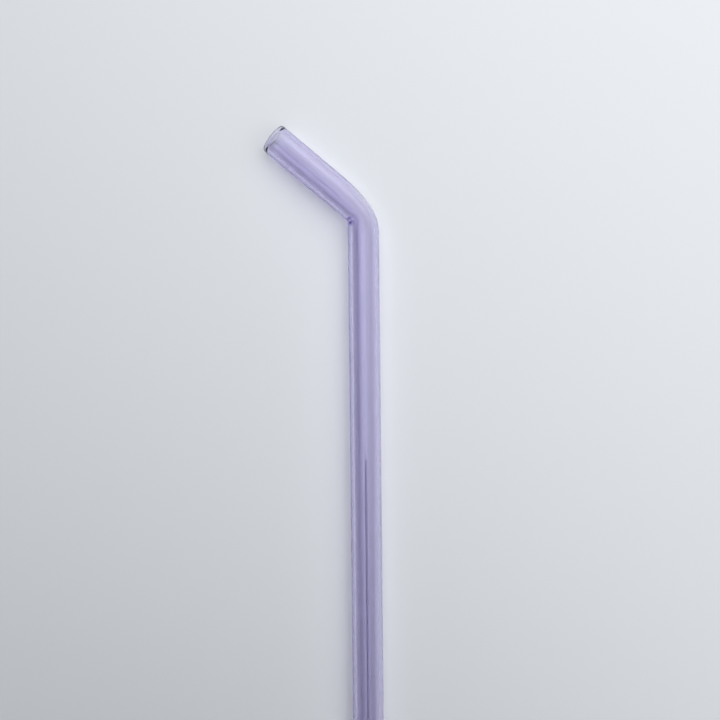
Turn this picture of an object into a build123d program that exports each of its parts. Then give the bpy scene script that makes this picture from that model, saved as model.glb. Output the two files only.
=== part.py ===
"""Bent drinking straw of tinted glass: one tube, bent once by hand, with both ends melted round.

The straw lies flat. The leg runs along +Y towards the bend, the mouth end turns off to the -X side,
and the lowest line of the tube rests on z = 0. All lengths are millimetres and all angles degrees.
"""
from build123d import *
from math import cos, pi, radians, sin
import os

# The drawn tube
outer_diameter = 8.0
wall = 1.0

# Straight runs, each measured from its rim to the point where the axes of leg and mouth end cross
leg_length = 170.5
mouth_length = 30.1

# Outer side of the bend: a tight arc next to the leg runs into a gentle one next to the mouth end
tight_radius = 11.7
tight_turn = 34.6
gentle_radius = 40.0
gentle_turn = 14.9

# Inner side of the bend: the glass folds into a crease, and piles up in a bead behind it
crease_radius = 1.6
crease_bead = 0.3
bead_reach = 1.8

# Outer side of the bend: the glass is drawn thinner
stretched_wall = 0.8

# Rims, melted round, each with a short flare that widens the bore
rim_round = 0.5
rim_flare = 0.4
rim_reach = 1.2

# Sections that shape the bend; the first and last ones stand this far into straight tube
bend_sections = 44
straight_lead = 1.0

outer_radius = outer_diameter / 2
bore_radius = outer_radius - wall
bend_turn = tight_turn + gentle_turn


def heading(turn):
    """Direction across the tube, from its inner side to its outer side, after a turn from the leg."""
    return Vector(cos(radians(turn)), sin(radians(turn)))


def along(turn):
    """Direction along the tube, from the leg to the mouth, after a turn from the leg."""
    return Vector(-sin(radians(turn)), cos(radians(turn)))


# The bend is drawn with the leg's axis on x = 0 and the start of the tight arc at y = 0
tight_centre = Vector(outer_radius - tight_radius, 0)
gentle_centre = tight_centre + heading(tight_turn) * (tight_radius - gentle_radius)
mouth_outer_start = gentle_centre + heading(bend_turn) * gentle_radius
mouth_axis_start = mouth_outer_start - heading(bend_turn) * outer_radius
mouth_inner_start = mouth_outer_start - heading(bend_turn) * outer_diameter

# The two inner sides would meet in a sharp corner, and the two axes in another
inner_run = -(mouth_inner_start.X + outer_radius) / sin(radians(bend_turn))
inner_corner = mouth_inner_start - along(bend_turn) * inner_run
axis_run = -mouth_axis_start.X / sin(radians(bend_turn))
axis_corner = mouth_axis_start - along(bend_turn) * axis_run

leg_start = -along(0) * straight_lead
mouth_start = mouth_axis_start + along(bend_turn) * straight_lead


def side_paths():
    """Plan of the bend: its inner side with the crease, and its outer side with the two arcs."""
    inner_start = leg_start - heading(0) * outer_radius
    inner_end = mouth_start - heading(bend_turn) * outer_radius
    inner = FilletPolyline(inner_start, inner_corner, inner_end, radius=crease_radius)
    with BuildLine() as outer:
        Line(leg_start + heading(0) * outer_radius, heading(0) * outer_radius)
        CenterArc(tight_centre, tight_radius, 0, tight_turn)
        CenterArc(gentle_centre, gentle_radius, tight_turn, gentle_turn)
        Line(mouth_outer_start, mouth_start + heading(bend_turn) * outer_radius)
    return Wire(inner.edges()), Wire(outer.edges())


def half_oval(inner_point, outer_point, height):
    """Upper half of an oval outline across the tube, from its outer side over the top to its inner side."""
    across = outer_point - inner_point
    plane = Plane(origin=inner_point + across / 2, x_dir=across, z_dir=Vector(across.Y, -across.X))
    return plane * EllipticalCenterArc((0, 0), across.length / 2, height / 2, 0, arc_size=180)


def bend_skins():
    """Skins of the bend: an oval outside that narrows at the crease, and a bore that narrows more."""
    inner_side, outer_side = side_paths()
    outside = []
    bore = []
    for section in range(bend_sections + 1):
        share = section / bend_sections
        inner_point = inner_side @ share
        outer_point = outer_side @ share
        across = (outer_point - inner_point).normalized()
        to_crease = (inner_point - inner_corner).length
        piled_up = (1 + cos(pi * min(to_crease / bead_reach, 1))) / 2
        drawn_out = sin(pi * share) ** 2
        inner_wall = wall + crease_bead * piled_up
        outer_wall = wall - (wall - stretched_wall) * drawn_out
        bore_inner = inner_point + across * inner_wall
        bore_outer = outer_point - across * outer_wall
        outside.append(Wire([half_oval(inner_point, outer_point, outer_diameter).edge()]))
        bore.append(Wire([half_oval(bore_inner, bore_outer, 2 * bore_radius).edge()]))
    upper = Shell.make_loft(outside).faces() + Shell.make_loft(bore).faces()
    return upper + [face.mirror(Plane.XY) for face in upper]


def run_skin(start, turn, facing, length):
    """Skin of a straight run from the bend to its rim: outside, melted rim, flare and bore in one turn."""
    flare_radius = bore_radius + rim_flare
    rim_middle = (outer_radius + flare_radius) / 2
    rim_base = length - rim_round
    with BuildLine(Plane.XZ) as profile:
        Line((outer_radius, 0), (outer_radius, rim_base))
        rim = EllipticalCenterArc((rim_middle, rim_base), outer_radius - rim_middle, rim_round, 0, arc_size=180)
        flare = Spline(rim @ 1, (bore_radius, length - rim_reach), tangents=((0, -1), (0, -1)))
        Line(flare @ 1, (bore_radius, 0))
    skin = Shell.revolve(profile.line, 360, Axis.Z)
    return Plane(origin=start, x_dir=heading(turn), z_dir=facing) * skin


def straw():
    """The whole straw: the skins of leg, bend and mouth end sewn into one solid, resting on z = 0."""
    leg = run_skin(leg_start, 0, -along(0), leg_length - axis_corner.Y - straight_lead)
    mouth = run_skin(mouth_start, bend_turn, along(bend_turn), mouth_length - axis_run - straight_lead)
    tube = Solid(Shell(leg.faces() + bend_skins() + mouth.faces()))
    box = tube.bounding_box()
    return Pos(-box.center().X, -box.center().Y, outer_radius) * tube


os.makedirs("parts", exist_ok=True)
glass = straw()
export_step(glass, "parts/straw.step")
print("turn of the bend", bend_turn, "volume", round(glass.volume), "mm3", "box", glass.bounding_box().size)
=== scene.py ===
# %% [markdown]
# A bent drinking straw of lilac glass. On the real object one glass tube is heated over a flame, bent once
# by hand, and both ends are melted round. It lies flat on pale paper and is seen from straight above. The
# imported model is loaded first, because it says where the straw is and how large it is: the scene is built
# round it.

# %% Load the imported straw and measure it
from math import cos, pi, radians, sin, tan

import bmesh
import bpy
from mathutils import Matrix, Vector


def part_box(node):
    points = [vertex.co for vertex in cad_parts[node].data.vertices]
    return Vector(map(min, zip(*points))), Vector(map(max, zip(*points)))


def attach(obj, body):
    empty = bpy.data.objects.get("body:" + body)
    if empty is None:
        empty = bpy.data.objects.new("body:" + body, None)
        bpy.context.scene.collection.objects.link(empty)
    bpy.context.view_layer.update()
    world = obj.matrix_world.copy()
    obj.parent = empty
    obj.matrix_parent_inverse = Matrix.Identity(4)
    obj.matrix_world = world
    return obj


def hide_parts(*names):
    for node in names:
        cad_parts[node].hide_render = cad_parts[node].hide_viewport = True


MM = 0.001

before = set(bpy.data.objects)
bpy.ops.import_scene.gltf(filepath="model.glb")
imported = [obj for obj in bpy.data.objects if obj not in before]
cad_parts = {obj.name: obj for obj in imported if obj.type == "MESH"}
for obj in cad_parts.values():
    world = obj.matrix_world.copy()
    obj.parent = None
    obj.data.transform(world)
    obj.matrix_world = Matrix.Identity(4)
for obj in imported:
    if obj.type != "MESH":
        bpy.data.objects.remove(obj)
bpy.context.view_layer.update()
straw_low, straw_high = (Vector(corner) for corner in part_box("straw"))
outer_diameter = straw_high.z - straw_low.z
outer_radius = outer_diameter / 2
print("straw box in mm", [round(side / MM, 2) for side in straw_high - straw_low])
print("outer diameter in mm", round(outer_diameter / MM, 3))

# %% [markdown]
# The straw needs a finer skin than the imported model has, because glass shows every facet twice: once where
# light goes in and once where it comes out. So the same driving sizes are repeated here, in metres, and the
# tube is drawn again from them. The wall is 1 mm. The outer side of the bend is a tight arc that runs into
# a gentle one, its inner side is almost a sharp corner, and there the wall piles up in a small bead.

# %% Sizes of the glass
wall = 1.0 * MM
leg_length = 170.5 * MM
mouth_length = 30.1 * MM
tight_radius = 11.7 * MM
tight_turn = 34.6
gentle_radius = 40.0 * MM
gentle_turn = 14.9
crease_radius = 1.6 * MM
crease_bead = 0.3 * MM
bead_reach = 1.8 * MM
stretched_wall = 0.8 * MM
rim_round = 0.5 * MM
rim_flare = 0.4 * MM
rim_reach = 1.2 * MM
straight_lead = 1.0 * MM
bend_turn = tight_turn + gentle_turn
print("turn of the bend in degrees", bend_turn)

# %% [markdown]
# A bent tube is easiest to draw in its own directions, across it and along it, for any turn between the leg
# and the mouth end. The leg runs along +Y, and the mouth end turns off to the -X side.


# %% Directions across and along the tube
def heading(turn):
    """Direction across the tube, from its inner side to its outer side, after a turn from the leg."""
    return Vector((cos(radians(turn)), sin(radians(turn)), 0))


def along(turn):
    """Direction along the tube, from the leg to the mouth, after a turn from the leg."""
    return Vector((-sin(radians(turn)), cos(radians(turn)), 0))


print("the mouth end points to", [round(value, 3) for value in along(bend_turn)])

# %% [markdown]
# Everything about the bend follows from the point of the leg's axis where the tight arc starts. Its place
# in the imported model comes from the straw's box: the axis runs one radius inside the box's right side, and
# the leg's rim touches the box's near side.


# %% Corners of the bend
def gentle_end(bend_start):
    """The end of the gentle arc on the tube's axis, for a bend that starts at a point of the leg's axis."""
    tight_centre = bend_start + heading(0) * (outer_radius - tight_radius)
    gentle_centre = tight_centre + heading(tight_turn) * (tight_radius - gentle_radius)
    return gentle_centre + heading(bend_turn) * (gentle_radius - outer_radius)


def meeting_point(leg_point, mouth_point):
    """Where a line along the leg through one point meets a line along the mouth end through the other."""
    run = (leg_point.x - mouth_point.x) / sin(radians(bend_turn))
    return mouth_point - along(bend_turn) * run


leg_axis = Vector((straw_high.x - outer_radius, 0, outer_radius))
corner_ahead = meeting_point(leg_axis, gentle_end(leg_axis)).y
bend_start = leg_axis + along(0) * (straw_low.y + leg_length - corner_ahead)
bend_end = gentle_end(bend_start)
axis_corner = meeting_point(bend_start, bend_end)
leg_inside = bend_start - heading(0) * outer_radius
mouth_inside = bend_end - heading(bend_turn) * outer_radius
inner_corner = meeting_point(leg_inside, mouth_inside)
print("axes of leg and mouth end cross at, in mm", [round(value / MM, 2) for value in axis_corner])

# %% [markdown]
# The bend has two sides, and each is a line with rounded corners. A Blender curve holds the corners only,
# and each point's radius says how round its corner is: Geometry Nodes rounds them later with Fillet Curve.
# A bend like this could also be one circular arc, but a hand-bent tube has a sharp inner side and a wide
# outer one.

# %% Inner and outer side of the bend
leg_lead = bend_start - along(0) * straight_lead
mouth_lead = bend_end + along(bend_turn) * straight_lead
tight_tangent = tight_radius * tan(radians(tight_turn / 2))
gentle_tangent = gentle_radius * tan(radians(gentle_turn / 2))
tight_corner = bend_start + heading(0) * outer_radius + along(0) * tight_tangent
gentle_corner = bend_end + heading(bend_turn) * outer_radius - along(bend_turn) * gentle_tangent
inner_side = [
    (leg_lead - heading(0) * outer_radius, 0),
    (inner_corner, crease_radius),
    (mouth_lead - heading(bend_turn) * outer_radius, 0),
]
outer_side = [
    (leg_lead + heading(0) * outer_radius, 0),
    (tight_corner, tight_radius),
    (gentle_corner, gentle_radius),
    (mouth_lead + heading(bend_turn) * outer_radius, 0),
]


def bend_sides(sides):
    """A curve object with one plain spline for each side: corners as points, rounding as their radii."""
    curve = bpy.data.curves.new("bend_sides", "CURVE")
    curve.dimensions = "3D"
    for side in sides:
        spline = curve.splines.new("POLY")
        spline.points.add(len(side) - 1)
        for point, (corner, radius) in zip(spline.points, side):
            point.co = (*corner, 1)
            point.radius = radius
    sides_object = bpy.data.objects.new("bend_sides", curve)
    bpy.context.collection.objects.link(sides_object)
    return sides_object


sides = bend_sides([inner_side, outer_side])
bend_length = (inner_side[-1][0] - inner_side[0][0]).length
print("bend, straight across its inner side, in mm", round(bend_length / MM, 2))

# %% [markdown]
# If the tube were straight and slit open, its wall would be a long flat strip with round ends. That strip
# is drawn here as one closed outline: x runs along the tube, y into the wall. The ends are half ellipses,
# because the flame melts the rims round, and behind each of them the bore is a little wider.

# %% Outline of the wall
leg_run = leg_length - (axis_corner.y - leg_lead.y)
mouth_run = mouth_length - (mouth_lead - axis_corner).length
leg_steps = 40
bend_steps = 100
mouth_steps = 12
rim_steps = 24
flare_steps = 16


def spread(start, end, steps):
    """Evenly spaced values after the start, up to and with the end."""
    return [start + (end - start) * step / steps for step in range(1, steps + 1)]


def melted_rim(base, outwards):
    """Half ellipse from the outside skin over the rim, then the flare's slope down to the bore."""
    half_depth = (wall - rim_flare) / 2
    points = []
    for angle in spread(0, pi, rim_steps):
        points.append((base + outwards * rim_round * sin(angle), half_depth * (1 - cos(angle))))
    for share in spread(0, 1, flare_steps):
        ease = share * share * (3 - 2 * share)
        points.append((base - outwards * (rim_reach - rim_round) * share, wall - rim_flare * (1 - ease)))
    return points


def wall_outline():
    """The wall's outline: along the skin, round the mouth's rim, back in the bore, round the leg's rim."""
    leg_base = -leg_run + rim_round
    mouth_base = bend_length + mouth_run - rim_round
    skin = spread(leg_base, 0, leg_steps) + spread(0, bend_length, bend_steps)
    skin += spread(bend_length, mouth_base, mouth_steps)
    bore_start = mouth_base - (rim_reach - rim_round)
    bore_end = leg_base + (rim_reach - rim_round)
    bore = spread(bore_start, bend_length, mouth_steps) + spread(bend_length, 0, bend_steps)
    bore += spread(0, bore_end, leg_steps)
    leg_rim = melted_rim(leg_base, -1)[-2::-1]
    outline = [(x, 0) for x in skin] + melted_rim(mouth_base, 1) + [(x, wall) for x in bore]
    return outline + leg_rim + [(leg_base, 0)]


outline = wall_outline()
outline_mesh = bpy.data.meshes.new("wall_outline")
outline_edges = [(i, (i + 1) % len(outline)) for i in range(len(outline))]
outline_mesh.from_pydata([(x, y, 0) for x, y in outline], outline_edges, [])
straw_maker = bpy.data.objects.new("straw_maker", outline_mesh)
bpy.context.collection.objects.link(straw_maker)
print("outline of the wall has", len(outline), "points; leg run", round(leg_run / MM, 2), "mm")

# %% [markdown]
# A Geometry Nodes tree wraps the outline round the tube. Each of its points becomes a ring of points, and
# in the bend the ring is an oval that stands between the two sides. A small helper keeps the trees
# readable: it adds nodes to one tree and fills their inputs in order, with plain values or with other
# nodes' outputs.


# %% Helper for node trees
class TreeWriter:
    """Adds nodes to one tree. A value that is another node's output is linked, and None is left as it is."""

    def __init__(self, tree):
        self.tree = tree

    def node(self, kind, *values, **options):
        """A node of one kind, with its options set and its inputs filled in order."""
        node = self.tree.nodes.new(kind)
        for option, setting in options.items():
            setattr(node, option, setting)
        places = [socket for socket in node.inputs if socket.enabled]
        for socket, value in zip(places, values):
            self.fill(socket, value)
        return node

    def fill(self, socket, value):
        """Links an output to an input, or sets the input's own value."""
        if isinstance(value, bpy.types.NodeSocket):
            self.tree.links.new(value, socket)
        elif value is not None:
            socket.default_value = value

    def result(self, kind, *values, **options):
        """The first output of a new node."""
        node = self.node(kind, *values, **options)
        return next(socket for socket in node.outputs if socket.enabled)

    def number(self, operation, *values):
        """The result of a Math node."""
        return self.result("ShaderNodeMath", *values, operation=operation)

    def vector(self, operation, *values):
        """The result of a Vector Math node."""
        return self.result("ShaderNodeVectorMath", *values, operation=operation)

    def scaled(self, direction, factor):
        """A vector times a number."""
        return self.vector("SCALE", direction, factor)

    def eased(self, value, start, end, low, high):
        """A number that goes smoothly from low to high while the value goes from start to end."""
        kind = "ShaderNodeMapRange"
        return self.result(kind, value, start, end, low, high, interpolation_type="SMOOTHSTEP")


# %% [markdown]
# The tree gets each size as a named input, so that the straw could be changed from the modifier's panel,
# and no size is hidden in a node. Few steps round the tube would show as flat strips in the glass: 192
# don't.

# %% Inputs of the straw's tree
steps_around = 192
fillet_steps = 64
draw_line_depth = 0.035 * MM
noise_circle = 3.0
straw_tree = bpy.data.node_groups.new("glass_straw", "GeometryNodeTree")
straw_tree.is_modifier = True
straw_inputs = {
    "Wall Outline": ("NodeSocketGeometry", None),
    "Bend Sides": ("NodeSocketObject", sides),
    "Steps Around": ("NodeSocketInt", steps_around),
    "Fillet Steps": ("NodeSocketInt", fillet_steps),
    "Outer Radius": ("NodeSocketFloat", outer_radius),
    "Wall": ("NodeSocketFloat", wall),
    "Stretched Wall": ("NodeSocketFloat", stretched_wall),
    "Crease Bead": ("NodeSocketFloat", crease_bead),
    "Bead Reach": ("NodeSocketFloat", bead_reach),
    "Draw Line Depth": ("NodeSocketFloat", draw_line_depth),
    "Noise Circle": ("NodeSocketFloat", noise_circle),
    "Bend Length": ("NodeSocketFloat", bend_length),
    "Crease Corner": ("NodeSocketVector", inner_corner),
    "Leg Direction": ("NodeSocketVector", along(0)),
    "Mouth Direction": ("NodeSocketVector", along(bend_turn)),
    "Glass": ("NodeSocketMaterial", None),
}
identifier = {}
for name, (kind, _) in straw_inputs.items():
    socket = straw_tree.interface.new_socket(name, in_out="INPUT", socket_type=kind)
    identifier[name] = socket.identifier
straw_tree.interface.new_socket("Straw", in_out="OUTPUT", socket_type="NodeSocketGeometry")
given = straw_tree.nodes.new("NodeGroupInput").outputs
tree = TreeWriter(straw_tree)
print("the straw's tree has", len(identifier), "named inputs")

# %% [markdown]
# A grid is the start of the skin: one row for each point of the outline and one column for each step
# around. Its first and last rows are the same ring, and so are its first and last columns, so the skin
# closes when doubles are merged. Each vertex reads its outline point with Sample Index, from its own row
# number.

# %% Rows and columns of the skin
outline_size = tree.result("GeometryNodeAttributeDomainSize", given["Wall Outline"], component="MESH")
rows = tree.number("ADD", outline_size, 1)
columns = tree.number("ADD", given["Steps Around"], 1)
grid = tree.node("GeometryNodeMeshGrid", 1.0, 1.0, rows, columns)
index = tree.result("GeometryNodeInputIndex")
row = tree.number("FLOOR", tree.number("DIVIDE", tree.number("ADD", index, 0.5), columns))
column = tree.number("SUBTRACT", index, tree.number("MULTIPLY", row, columns))
outline_row = tree.number("MODULO", row, outline_size)
angle = tree.number("MULTIPLY", tree.number("DIVIDE", column, given["Steps Around"]), 2 * pi)
place = tree.result("GeometryNodeInputPosition")
outline_point = tree.result(
    "GeometryNodeSampleIndex", given["Wall Outline"], place, outline_row, data_type="FLOAT_VECTOR"
)
outline_xy = tree.node("ShaderNodeSeparateXYZ", outline_point)
run, depth = outline_xy.outputs["X"], outline_xy.outputs["Y"]
print("the skin's grid has", len(outline) + 1, "rows and", steps_around + 1, "columns")

# %% [markdown]
# The two sides get their round corners from Fillet Curve, which reads each point's radius. Where the tube
# is straight, the share of the bend stays at 0 or 1 and the rest of the run is added along the leg or the
# mouth.

# %% Points on both sides of the bend
side_curves = tree.node("GeometryNodeObjectInfo", given["Bend Sides"], transform_space="ORIGINAL")
fillet = tree.node("GeometryNodeFilletCurve", mode="POLY")
tree.fill(fillet.inputs["Curve"], side_curves.outputs["Geometry"])
tree.fill(fillet.inputs["Radius"], tree.result("GeometryNodeInputRadius"))
tree.fill(fillet.inputs["Count"], given["Fillet Steps"])
bend_share = tree.number("DIVIDE", run, given["Bend Length"])
share = tree.number("MINIMUM", tree.number("MAXIMUM", bend_share, 0.0), 1.0)
beyond_leg = tree.number("MINIMUM", run, 0.0)
beyond_mouth = tree.number("MAXIMUM", tree.number("SUBTRACT", run, given["Bend Length"]), 0.0)


def side_point(side_index):
    """The point of one side at this vertex's share of the bend."""
    sample = tree.node("GeometryNodeSampleCurve", mode="FACTOR")
    tree.fill(sample.inputs["Curves"], fillet.outputs["Curve"])
    tree.fill(sample.inputs["Factor"], share)
    tree.fill(sample.inputs["Curve Index"], side_index)
    return sample.outputs["Position"]


inner_point = side_point(0)
outer_point = side_point(1)
print("each corner of the sides is rounded in", fillet_steps, "steps")

# %% [markdown]
# Bending draws the outer wall thinner and piles glass up behind the crease. Both changes are smooth bumps:
# a squared sine over the whole bend, and a raised cosine of the distance from the crease.

# %% Wall thickness through the bend
to_crease = tree.vector("DISTANCE", inner_point, given["Crease Corner"])
near_crease = tree.number("MINIMUM", tree.number("DIVIDE", to_crease, given["Bead Reach"]), 1.0)
wave = tree.number("COSINE", tree.number("MULTIPLY", near_crease, pi))
piled_up = tree.number("MULTIPLY_ADD", wave, 0.5, 0.5)
drawn_out = tree.number("POWER", tree.number("SINE", tree.number("MULTIPLY", share, pi)), 2.0)
inner_wall = tree.number("MULTIPLY_ADD", given["Crease Bead"], piled_up, given["Wall"])
thinner = tree.number("SUBTRACT", given["Wall"], given["Stretched Wall"])
outer_wall = tree.number("SUBTRACT", given["Wall"], tree.number("MULTIPLY", thinner, drawn_out))
into_wall = tree.number("DIVIDE", depth, given["Wall"])
thickest = wall + crease_bead
print("wall in mm, inner side up to", round(thickest / MM, 2), "outer side down to", stretched_wall / MM)

# %% [markdown]
# Each ring stands upright between its inner and its outer point. Going into the wall, both points move
# towards each other by the share of their own wall, and the ring's height shrinks by the plain depth. The
# bead and the thin outer wall therefore lie at the sides of the ring, and its top and bottom keep the plain
# wall.

# %% Ring of points round the tube
across = tree.vector("NORMALIZE", tree.vector("SUBTRACT", outer_point, inner_point))
inner_inset = tree.scaled(across, tree.number("MULTIPLY", inner_wall, into_wall))
outer_inset = tree.scaled(across, tree.number("MULTIPLY", outer_wall, into_wall))
inner_skin = tree.vector("ADD", inner_point, inner_inset)
outer_skin = tree.vector("SUBTRACT", outer_point, outer_inset)
middle = tree.scaled(tree.vector("ADD", inner_skin, outer_skin), 0.5)
half_across = tree.scaled(tree.vector("SUBTRACT", outer_skin, inner_skin), 0.5)
half_height = tree.number("SUBTRACT", given["Outer Radius"], depth)
turn_cosine = tree.number("COSINE", angle)
turn_sine = tree.number("SINE", angle)
sideways = tree.scaled(half_across, turn_cosine)
upwards = tree.result("ShaderNodeCombineXYZ", 0.0, 0.0, tree.number("MULTIPLY", half_height, turn_sine))
ring_point = tree.vector("ADD", middle, tree.vector("ADD", sideways, upwards))
print("each ring has", steps_around, "points")

# %% [markdown]
# Glass tube is drawn hot through a ring, and that leaves faint lines all along it. They are only about a
# hundredth of a millimetre deep, but glass bends light so strongly that they show as fine streaks. A noise
# that is read on a circle closes on itself round the tube, and a wider circle gives more lines. Along the
# run the noise hardly changes, so the lines stay straight.

# %% Draw lines
noise_scale = 2.0
noise_detail = 1.0
change_along_run = 0.5
circle_x = tree.number("MULTIPLY", turn_cosine, given["Noise Circle"])
circle_y = tree.number("MULTIPLY", turn_sine, given["Noise Circle"])
noise_height = tree.number("MULTIPLY", run, change_along_run)
noise = tree.node("ShaderNodeTexNoise")
tree.fill(noise.inputs["Vector"], tree.result("ShaderNodeCombineXYZ", circle_x, circle_y, noise_height))
tree.fill(noise.inputs["Scale"], noise_scale)
tree.fill(noise.inputs["Detail"], noise_detail)
swing = tree.number("SUBTRACT", noise.outputs["Fac"], 0.5)
line_height = tree.number("MULTIPLY", swing, given["Draw Line Depth"])
straight_up = tree.result("ShaderNodeCombineXYZ", 0.0, 0.0, turn_sine)
radial = tree.vector("ADD", tree.scaled(across, turn_cosine), straight_up)
lined_point = tree.vector("ADD", ring_point, tree.scaled(radial, line_height))
print("draw lines reach, in mm, up to", draw_line_depth / 2 / MM)

# %% [markdown]
# The straight runs are added now, and the grid is moved to its skin points and closed. Shade Smooth hides
# the facets, Realize Instances makes sure that the result is plain mesh, and the glass is set last.

# %% Finish the skin
merge_distance = 0.001 * MM
down_leg = tree.scaled(given["Leg Direction"], beyond_leg)
up_mouth = tree.scaled(given["Mouth Direction"], beyond_mouth)
skin_point = tree.vector("ADD", lined_point, tree.vector("ADD", down_leg, up_mouth))
shaped = tree.result("GeometryNodeSetPosition", grid.outputs["Mesh"], None, skin_point)
closed = tree.result("GeometryNodeMergeByDistance", shaped, None, merge_distance)
smooth = tree.result("GeometryNodeSetShadeSmooth", closed, None, True)
realized = tree.result("GeometryNodeRealizeInstances", smooth)
finished = tree.result("GeometryNodeSetMaterial", realized, None, given["Glass"])
tree.node("NodeGroupOutput", finished)
print("the straw's tree has", len(straw_tree.nodes), "nodes")

# %% [markdown]
# Lilac glass is clear glass that takes away red and green as light goes through it. A Principled BSDF with
# full transmission bends and reflects the light, and a Volume Absorption takes the colour, more where the
# glass is thicker. A tinted surface would be simpler, but it would give thin and thick glass the same
# colour. What each metre of glass takes from red, green and blue is the density times what the absorption's
# colour lacks of 1.

# %% Glass
glass_ior = 1.47
absorption_density = 200.0
absorption_colour = (0.33, 0.215, 0.78, 1.0)


def lilac_glass():
    """Clear lilac glass, coloured by its depth."""
    glass = bpy.data.materials.new("lilac_glass")
    glass.use_nodes = True
    glass.node_tree.nodes.clear()
    writer = TreeWriter(glass.node_tree)
    surface = writer.node("ShaderNodeBsdfPrincipled")
    surface.inputs["Base Color"].default_value = (1.0, 1.0, 1.0, 1.0)
    surface.inputs["Roughness"].default_value = 0.0
    surface.inputs["IOR"].default_value = glass_ior
    surface.inputs["Transmission Weight"].default_value = 1.0
    depth_colour = writer.node("ShaderNodeVolumeAbsorption")
    depth_colour.inputs["Color"].default_value = absorption_colour
    depth_colour.inputs["Density"].default_value = absorption_density
    output = writer.node("ShaderNodeOutputMaterial")
    writer.fill(output.inputs["Surface"], surface.outputs["BSDF"])
    writer.fill(output.inputs["Volume"], depth_colour.outputs["Volume"])
    return glass


glass = lilac_glass()
taken = [round(absorption_density * (1 - share)) for share in absorption_colour[:3]]
print("red, green and blue taken by each metre of glass", taken)

# %% [markdown]
# The tree runs as a modifier on the outline, and its result is copied into a mesh of its own. The modifier,
# the outline and the sides aren't needed after that, so the scene keeps one plain object that anyone can
# use.

# %% Make the straw
straw_inputs["Glass"] = ("NodeSocketMaterial", glass)
wrap = straw_maker.modifiers.new("wrap", "NODES")
wrap.node_group = straw_tree
for name, (_, value) in straw_inputs.items():
    if value is not None:
        wrap[identifier[name]] = value
evaluated = straw_maker.evaluated_get(bpy.context.evaluated_depsgraph_get())
straw_mesh = bpy.data.meshes.new_from_object(evaluated)
straw_maker.modifiers.remove(wrap)
straw = bpy.data.objects.new("glass_straw", straw_mesh)
bpy.context.collection.objects.link(straw)
bpy.data.objects.remove(straw_maker)
bpy.data.objects.remove(sides)
print("the straw's mesh has", len(straw_mesh.vertices), "vertices and", len(straw_mesh.polygons), "faces")

# %% [markdown]
# Glass renders wrongly when its skin has a hole or is inside out, so both are measured: no edge may be
# open, and the volume, which has a sign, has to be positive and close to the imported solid's. Then the piece
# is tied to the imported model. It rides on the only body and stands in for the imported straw.

# %% Measure the straw and hand it over
check = bmesh.new()
check.from_mesh(straw_mesh)
open_edges = sum(not edge.is_manifold for edge in check.edges)
print("volume", round(check.calc_volume(signed=True) / MM ** 3), "mm3, open edges", open_edges)
check.free()

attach(straw, "root")
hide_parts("straw")

# %% [markdown]
# The straw lies on plain pale paper. The floor is one large matt face right under the glass, wide enough
# that its edges are never in the picture. It is a light grey, not white, so that the light can fall on it
# without its bright side turning into flat white.

# %% Floor
floor_size = 2.0
paper_grey = 0.76
paper_roughness = 0.9
paper_gloss = 0.2
floor_mesh = bpy.data.meshes.new("floor")
signs = [(-1, -1), (1, -1), (1, 1), (-1, 1)]
floor_mesh.from_pydata([(x * floor_size / 2, y * floor_size / 2, 0) for x, y in signs], [], [(0, 1, 2, 3)])
floor = bpy.data.objects.new("floor", floor_mesh)
bpy.context.collection.objects.link(floor)
paper = bpy.data.materials.new("pale_paper")
paper.use_nodes = True
paper_surface = paper.node_tree.nodes["Principled BSDF"]
paper_surface.inputs["Base Color"].default_value = (paper_grey, paper_grey, paper_grey, 1.0)
paper_surface.inputs["Roughness"].default_value = paper_roughness
paper_surface.inputs["Specular IOR Level"].default_value = paper_gloss
floor_mesh.materials.append(paper)
print("floor, in m", floor_size, "square")

# %% [markdown]
# The light is one big soft panel half a metre above the table, reaching off to the upper right like a
# bright ceiling beside a window. Its place and its soft edges are what draws the long pale and dark bands
# in the glass: glass has no shading of its own, and shows only what stands round it. The panel is so near
# that the paper is brighter on its side of the picture. Its edges are written as shares of its height,
# counted from the point where the axes of the leg and the mouth end cross.

# %% Soft panel
panel_height = 0.5
panel_turn = radians(11)
panel_x = {"start": -0.69, "full": 0.13, "fading": 0.53, "end": 2.34}
panel_y = {"start": -1.4, "full": 0.15, "fading": 1.5, "end": 5.0}
panel_radiance = 2.5
light_colour = (0.965, 1.0, 1.05)

panel_lamp = bpy.data.lights.new("soft_panel", "AREA")
panel_lamp.shape = "RECTANGLE"
panel_lamp.size = (panel_x["end"] - panel_x["start"]) * panel_height
panel_lamp.size_y = (panel_y["end"] - panel_y["start"]) * panel_height
panel_lamp.energy = panel_radiance * pi * panel_lamp.size * panel_lamp.size_y
panel_lamp.color = light_colour
panel_lamp.use_nodes = True
panel = bpy.data.objects.new("soft_panel", panel_lamp)
panel_middle = Vector((panel_x["start"] + panel_x["end"], panel_y["start"] + panel_y["end"], 2)) / 2
panel.rotation_euler.z = panel_turn
panel.location = axis_corner + Matrix.Rotation(panel_turn, 3, "Z") @ (panel_middle * panel_height)
panel.visible_camera = False
bpy.context.collection.objects.link(panel)
print("panel, in m", round(panel_lamp.size, 3), "by", round(panel_lamp.size_y, 3))

# %% [markdown]
# A lamp with hard edges would draw hard lines in the glass. The panel's own nodes make it soft: the light
# grows from one edge, stays full for a while and fades to the other edge, and this happens in both its
# directions.


# %% Soft edges of the panel
def soft_edges(writer, place, edges):
    """1 in the middle of the panel, fading smoothly to 0 at both edges of one direction."""
    rise = writer.eased(place, edges["start"], edges["full"], 0.0, 1.0)
    fade = writer.eased(place, edges["fading"], edges["end"], 1.0, 0.0)
    return writer.number("MULTIPLY", rise, fade)


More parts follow.
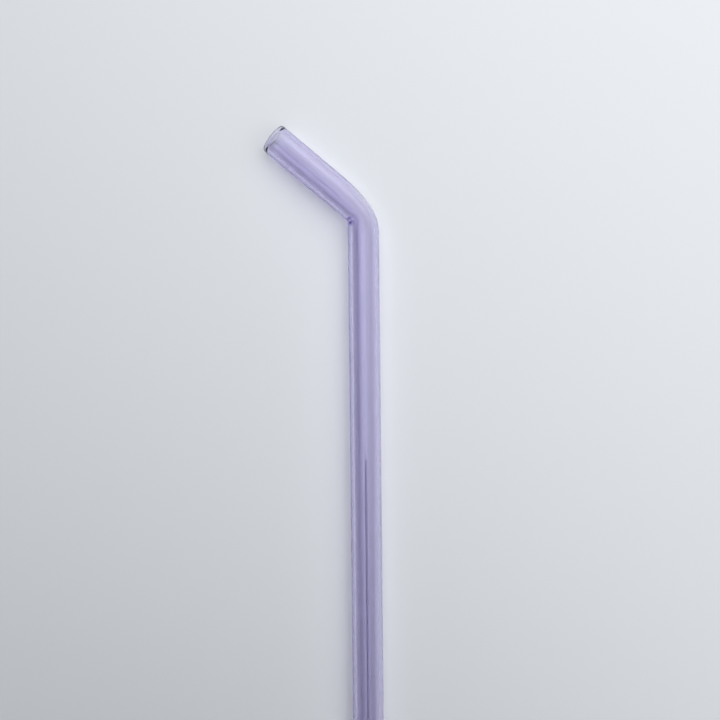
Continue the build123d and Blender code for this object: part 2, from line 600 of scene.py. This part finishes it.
panel_writer = TreeWriter(panel_lamp.node_tree)
panel_place = panel_writer.node("ShaderNodeTexCoord").outputs["Object"]
in_heights = panel_writer.scaled(panel_place, 1 / panel_height)
plan = panel_writer.node("ShaderNodeSeparateXYZ", panel_writer.vector("ADD", in_heights, panel_middle))
across_panel = soft_edges(panel_writer, plan.outputs["X"], panel_x)
along_panel = soft_edges(panel_writer, plan.outputs["Y"], panel_y)
emission = panel_lamp.node_tree.nodes["Emission"]
panel_writer.fill(emission.inputs["Strength"], panel_writer.number("MULTIPLY", across_panel, along_panel))
print("the panel's light has", len(panel_lamp.node_tree.nodes), "nodes")

# %% [markdown]
# Round the table the room glows faintly near the horizon, a little more on the side that the panel leans
# to, and it is dark higher up, where the panel is the only light. The thin outlines of the glass come from
# this low part of the room: where the skin is seen edge on, it mirrors what stands beside the straw.

# %% Room
bright_azimuth = radians(40)
bright_glow = 0.3
dim_glow = 0.2
side_reach = 0.7
glow_top = radians(6)
dark_from = radians(18)

world = bpy.data.worlds.new("soft_room")
bpy.context.scene.world = world
world.use_nodes = True
room = TreeWriter(world.node_tree)
background = world.node_tree.nodes["Background"]
background.inputs["Color"].default_value = (*light_colour, 1.0)
direction = room.node("ShaderNodeTexCoord").outputs["Generated"]
bright_side = Vector((cos(bright_azimuth), sin(bright_azimuth), 0))
facing = room.vector("DOT_PRODUCT", direction, bright_side)
low_glow = room.eased(facing, -side_reach, side_reach, dim_glow, bright_glow)
height = room.node("ShaderNodeSeparateXYZ", direction).outputs["Z"]
low_down = room.eased(height, sin(glow_top), sin(dark_from), 1.0, 0.0)
room.fill(background.inputs["Strength"], room.number("MULTIPLY", low_glow, low_down))
print("glow near the horizon from", dim_glow, "to", bright_glow)

# %% [markdown]
# Light goes back and forth in the wall of a tube many times, and each time takes one bounce. Where a path
# runs out of bounces the glass turns black, so the paths are allowed to be long here. Blurred reflections
# would wash the fine bands out, so that shortcut is switched off.

# %% Light paths
path_bounces = 24
glass_bounces = 20
cycles = bpy.context.scene.cycles
cycles.blur_glossy = 0.0
cycles.max_bounces = path_bounces
cycles.glossy_bounces = glass_bounces
cycles.transmission_bounces = glass_bounces
print("bounces in all", cycles.max_bounces, "and in glass", glass_bounces)

# %% [markdown]
# The camera looks down from about 20 cm, as a phone would, and is tilted by one and a half degrees. Its
# place is counted from the point where the axes of the leg and the mouth end cross. From so near, the
# picture shows a bit of the rim and of the inside at the mouth, and it cuts the leg off before its end.

# %% Camera
picture_width = 720
focal_pixels = 750
sensor_width = 36.0
nearest_seen = 10 * MM
camera_from_corner = Vector((-1.268, -32.443, 197.740)) * MM
tilt_x, tilt_y, roll = radians(1.519), radians(0.013), radians(0.602)
camera_data = bpy.data.cameras.new("overhead")
camera_data.sensor_width = sensor_width
camera_data.lens = sensor_width * focal_pixels / picture_width
camera_data.clip_start = nearest_seen
camera = bpy.data.objects.new("overhead", camera_data)
tilt = Matrix.Rotation(tilt_y, 3, "Y") @ Matrix.Rotation(tilt_x, 3, "X")
to_camera = Matrix.Rotation(roll, 3, "Z") @ tilt
camera.rotation_euler = to_camera.transposed().to_euler()
camera.location = Vector((axis_corner.x, axis_corner.y, 0)) + camera_from_corner
bpy.context.collection.objects.link(camera)
bpy.context.scene.camera = camera
bpy.context.scene.view_settings.view_transform = "Standard"
print("lens in mm", round(camera_data.lens, 2), "at a height in mm of", round(camera.location.z / MM, 1))

# %% [markdown]
# In the lower half of the leg a thin dark line with pale sides runs down the middle of the glass. It looks
# like the mirror image of a dark arm that holds the camera over the table. So there is an arm here too, as
# a plain black bar behind the camera. The camera doesn't see it, but the glass mirrors it.

# %% Camera arm
arm_width = 70 * MM
arm_length = 600 * MM
arm_thickness = 30 * MM
arm_gap = 64 * MM
arm_black = 0.02
arm_middle = camera.location + Vector((0, -arm_gap - arm_length / 2, 0))
arm_form = Matrix.Translation(arm_middle) @ Matrix.Diagonal((arm_width, arm_length, arm_thickness, 1))
arm_mesh = bpy.data.meshes.new("camera_arm")
arm_shape = bmesh.new()
bmesh.ops.create_cube(arm_shape, size=1.0, matrix=arm_form)
arm_shape.to_mesh(arm_mesh)
arm_shape.free()
arm = bpy.data.objects.new("camera_arm", arm_mesh)
arm.visible_camera = False
bpy.context.collection.objects.link(arm)
arm_paint = bpy.data.materials.new("matt_black")
arm_paint.use_nodes = True
arm_surface = arm_paint.node_tree.nodes["Principled BSDF"]
arm_surface.inputs["Base Color"].default_value = (arm_black, arm_black, arm_black, 1.0)
arm_surface.inputs["Roughness"].default_value = 1.0
arm_mesh.materials.append(arm_paint)
print("arm in mm", [round(side / MM) for side in arm.dimensions])
